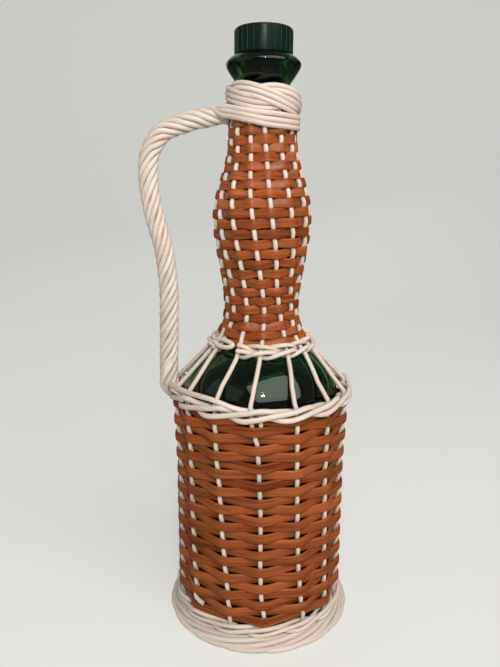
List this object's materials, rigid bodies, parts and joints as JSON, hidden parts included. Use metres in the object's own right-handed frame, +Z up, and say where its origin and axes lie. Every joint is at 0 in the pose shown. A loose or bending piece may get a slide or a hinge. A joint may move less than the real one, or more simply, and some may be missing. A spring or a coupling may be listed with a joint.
{
  "type": "wicker-covered bottle",
  "caption": "Tall green glass bottle in a woven cane cover, with a twisted cane handle at one side, an open shoulder window, a plaited collar and a ribbed screw cap.",
  "frame": {"origin": "centre of the underside of the base, on the bottle's axis, on the flat under the middle lower stick", "axes": "+Z up along the bottle's axis to the cap; -Y to the front that the picture shows; the handle on -X"},
  "size_m": [0.1197, 0.1067, 0.3281],
  "materials": {
    "green_glass": "clear dark green, polished",
    "cream_cane": "peeled natural cane, satin",
    "brown_cane": "stained cane, satin with a lengthwise grain",
    "cap_plastic": "dark green moulded plastic, soft gloss",
    "liner_foam": "white sealing disc, matt"
  },
  "bodies": {
    "bottle": {"glass_bottle": "green_glass", "stake_01": "cream_cane", "stake_02": "cream_cane", "stake_03": "cream_cane", "stake_04": "cream_cane", "stake_05": "cream_cane", "stake_06": "cream_cane", "stake_07": "cream_cane", "stake_08": "cream_cane", "stake_09": "cream_cane", "stake_10": "cream_cane", "stake_11": "cream_cane", "stake_12": "cream_cane", "stake_13": "cream_cane", "stake_14": "cream_cane", "stake_15": "cream_cane", "foot_wale_1": "cream_cane", "foot_wale_2": "cream_cane", "foot_wale_3": "cream_cane", "shoulder_wale_1": "cream_cane", "shoulder_wale_2": "cream_cane", "shoulder_wale_3": "cream_cane", "neck_pair_low_1": "cream_cane", "neck_pair_low_2": "cream_cane", "neck_pair_top_1": "cream_cane", "neck_pair_top_2": "cream_cane", "foot_cane_01": "cream_cane", "foot_cane_02": "cream_cane", "foot_cane_03": "cream_cane", "foot_cane_04": "cream_cane", "foot_cane_05": "cream_cane", "foot_cane_06": "cream_cane", "foot_cane_07": "cream_cane", "foot_cane_08": "cream_cane", "foot_cane_09": "cream_cane", "foot_cane_10": "cream_cane", "foot_cane_11": "cream_cane", "foot_cane_12": "cream_cane", "foot_cane_13": "cream_cane", "foot_cane_14": "cream_cane", "foot_cane_15": "cream_cane", "base_stick_1": "cream_cane", "base_stick_2": "cream_cane", "base_stick_3": "cream_cane", "base_stick_4": "cream_cane", "base_stick_5": "cream_cane", "base_stick_6": "cream_cane", "collar_wraps": "cream_cane", "collar_knot": "cream_cane", "handle": "cream_cane", "handle_tail_1": "cream_cane", "handle_tail_2": "cream_cane", "body_weaver_1": "brown_cane", "body_weaver_2": "brown_cane", "body_weaver_3": "brown_cane", "neck_weaver_1": "brown_cane", "neck_weaver_2": "brown_cane", "base_weaver": "brown_cane"},
    "liner": {"cap_liner": "liner_foam"},
    "cap": {"screw_cap": "cap_plastic"}
  },
  "joints": [
    {"name": "cap_rise", "type": "slide", "parent": "bottle", "child": "liner", "axis": [0, 0, 1], "range_m": [0, 0.0128]},
    {"name": "cap_turn", "type": "hinge", "parent": "liner", "child": "cap", "pos_m": [0, 0, 0.3217], "axis": [0, 0, 1], "range_deg": [0, 1440]}
  ],
  "couplings": [
    {"joint": "cap_rise", "follows": "cap_turn", "m_per_rad": 0.00050929}
  ]
}
